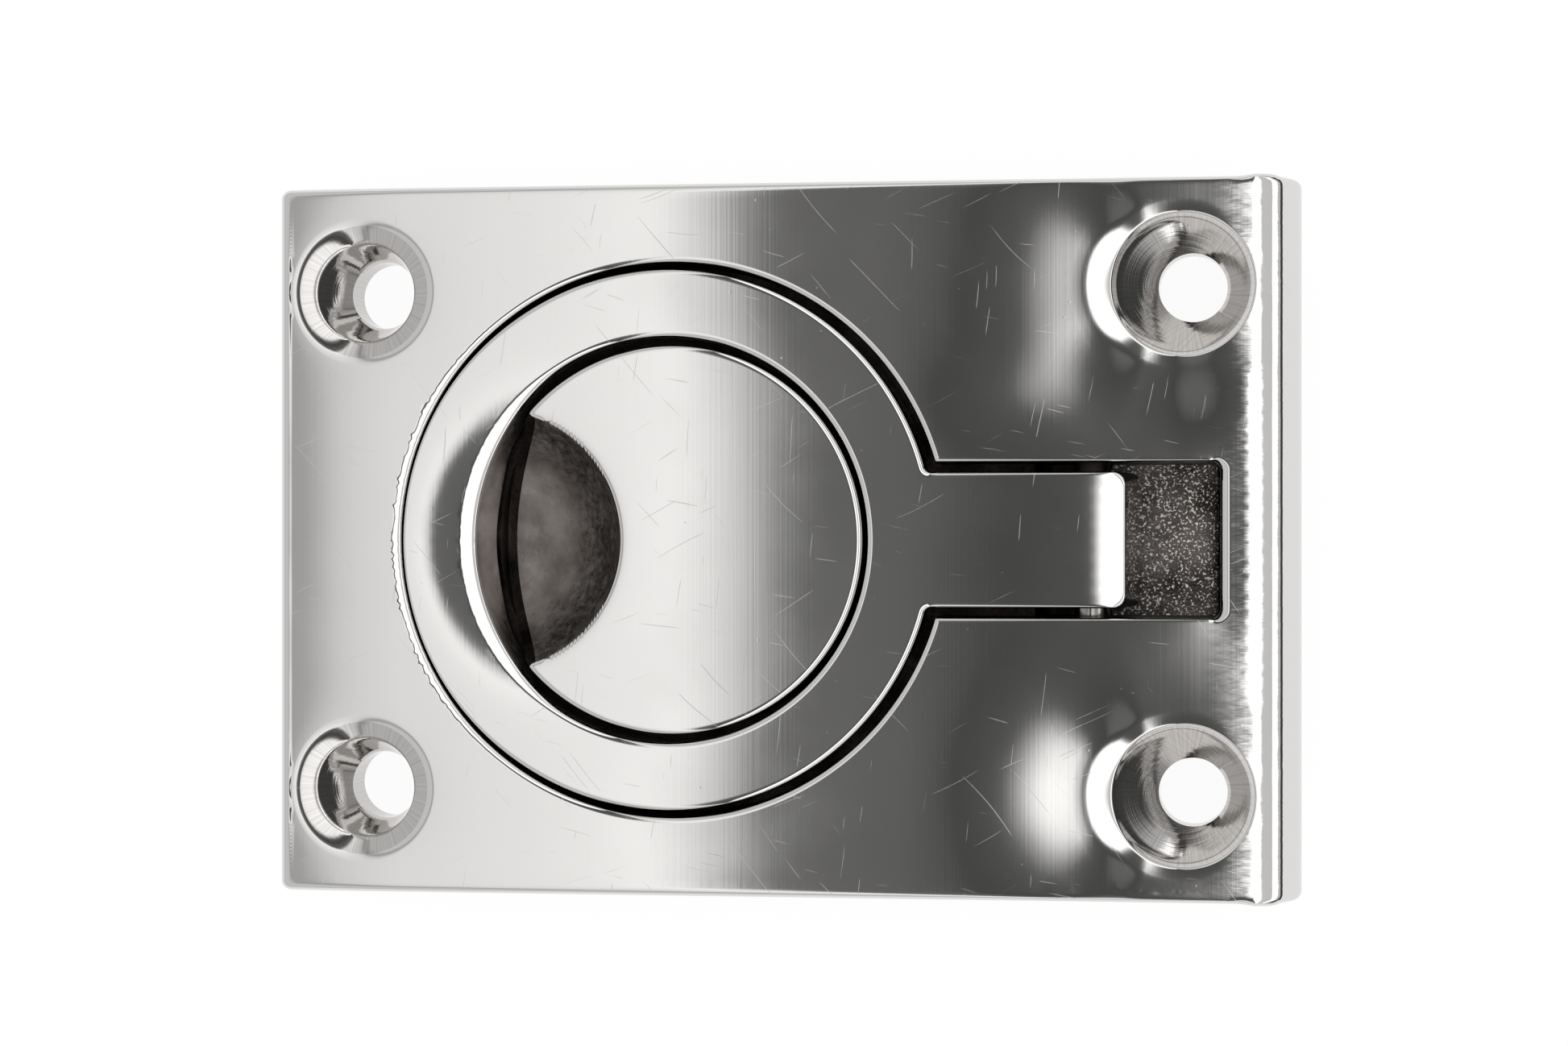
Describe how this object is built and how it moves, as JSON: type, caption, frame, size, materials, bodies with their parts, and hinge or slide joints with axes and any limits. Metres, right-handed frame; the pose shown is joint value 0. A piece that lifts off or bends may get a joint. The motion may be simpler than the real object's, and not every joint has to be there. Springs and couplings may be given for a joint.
{
  "type": "flush lift ring",
  "caption": "Rectangular cast plate with countersunk screw holes and a keyhole recess, in which a hinged pull ring lies flush round an island with a finger scoop.",
  "frame": {"origin": "centre of the four-screw pattern, on the underside of the flange where it rests on the panel", "axes": "+X from the finger scoop to the hinge, along the plate; +Y across the plate, along the hinge pin; +Z out of the polished face"},
  "size_m": [0.065, 0.045, 0.0078],
  "materials": {
    "plate_casting": "mirror polished cast stainless steel, as cast in the recess and underneath",
    "ring_casting": "mirror polished cast stainless steel",
    "pin_rod": "drawn stainless steel rod"
  },
  "bodies": {
    "plate": {"base_plate": "plate_casting", "hinge_pin": "pin_rod"},
    "ring": {"lift_ring": "ring_casting"}
  },
  "joints": [
    {"name": "ring_hinge", "type": "hinge", "parent": "plate", "child": "ring", "pos_m": [0.02025, 0, 0.0021], "axis": [0, 1, 0], "range_deg": [0, 145]}
  ]
}
